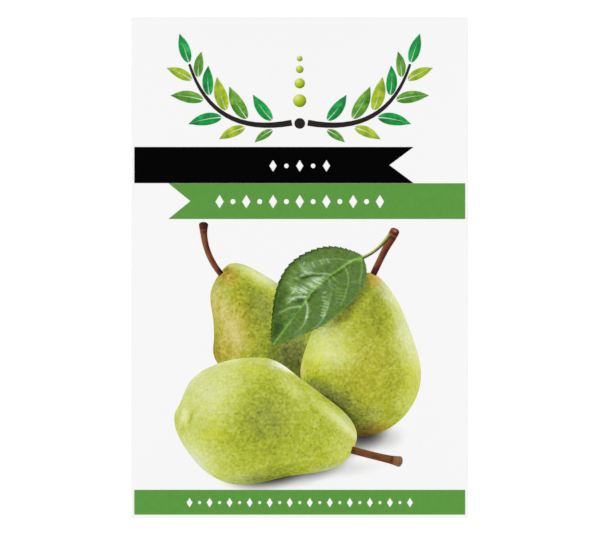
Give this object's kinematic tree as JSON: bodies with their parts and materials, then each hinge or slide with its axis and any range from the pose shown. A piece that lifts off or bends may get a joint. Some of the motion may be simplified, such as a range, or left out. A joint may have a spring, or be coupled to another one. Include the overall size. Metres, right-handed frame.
{
  "type": "printed plant label",
  "caption": "Flat upright plastic plant label card, white, with two swallowtail ribbons, a foot band, a leafy crest and a picture of pears with a leaf in ink",
  "frame": {"origin": "middle of the underside of the card, which lies on its back", "axes": "+X to the right of the printed face, +Y to the label's top, +Z out of the printed face"},
  "size_m": [0.1, 0.15, 0.0007],
  "materials": {
    "card_plastic": "satin white plastic card",
    "black_ink": "satin black ink",
    "band_green_ink": "satin mid green ink",
    "back_pear_ink": "printed pear skin, olive green and gold",
    "right_pear_ink": "printed pear skin, yellow green",
    "front_pear_ink": "printed pear skin, yellow green",
    "stalk_ink": "printed woody stalk, red brown",
    "leaf_ink": "printed leaf, deep green",
    "leaf_stalk_ink": "printed leaf stalk, yellow green",
    "bough_ink": "satin dark brown ink",
    "emerald_ink": "satin emerald ink",
    "lime_ink": "satin lime green ink",
    "mid_green_ink": "satin mid green ink"
  },
  "bodies": {
    "root": {"back_pear": "back_pear_ink", "back_stalk": "stalk_ink", "black_ribbon": "black_ink", "crest_berry_1": "lime_ink", "crest_berry_2": "lime_ink", "crest_berry_3": "lime_ink", "crest_berry_4": "lime_ink", "crest_knot": "bough_ink", "foot_band": "band_green_ink", "front_pear": "front_pear_ink", "front_stalk": "stalk_ink", "green_ribbon": "band_green_ink", "label_sheet": "card_plastic", "leaf": "leaf_ink", "leaf_stalk": "leaf_stalk_ink", "left_bough": "bough_ink", "left_lower_leaf_1": "mid_green_ink", "left_lower_leaf_2": "lime_ink", "left_lower_leaf_3": "emerald_ink", "left_lower_leaf_4": "mid_green_ink", "left_lower_leaf_5": "lime_ink", "left_tip_leaf": "emerald_ink", "left_upper_leaf_1": "emerald_ink", "left_upper_leaf_2": "mid_green_ink", "left_upper_leaf_3": "lime_ink", "left_upper_leaf_4": "emerald_ink", "left_upper_leaf_5": "mid_green_ink", "right_bough": "bough_ink", "right_lower_leaf_1": "mid_green_ink", "right_lower_leaf_2": "lime_ink", "right_lower_leaf_3": "emerald_ink", "right_lower_leaf_4": "mid_green_ink", "right_lower_leaf_5": "lime_ink", "right_pear": "right_pear_ink", "right_stalk": "stalk_ink", "right_tip_leaf": "emerald_ink", "right_upper_leaf_1": "emerald_ink", "right_upper_leaf_2": "mid_green_ink", "right_upper_leaf_3": "lime_ink", "right_upper_leaf_4": "emerald_ink", "right_upper_leaf_5": "mid_green_ink"}
  },
  "joints": []
}
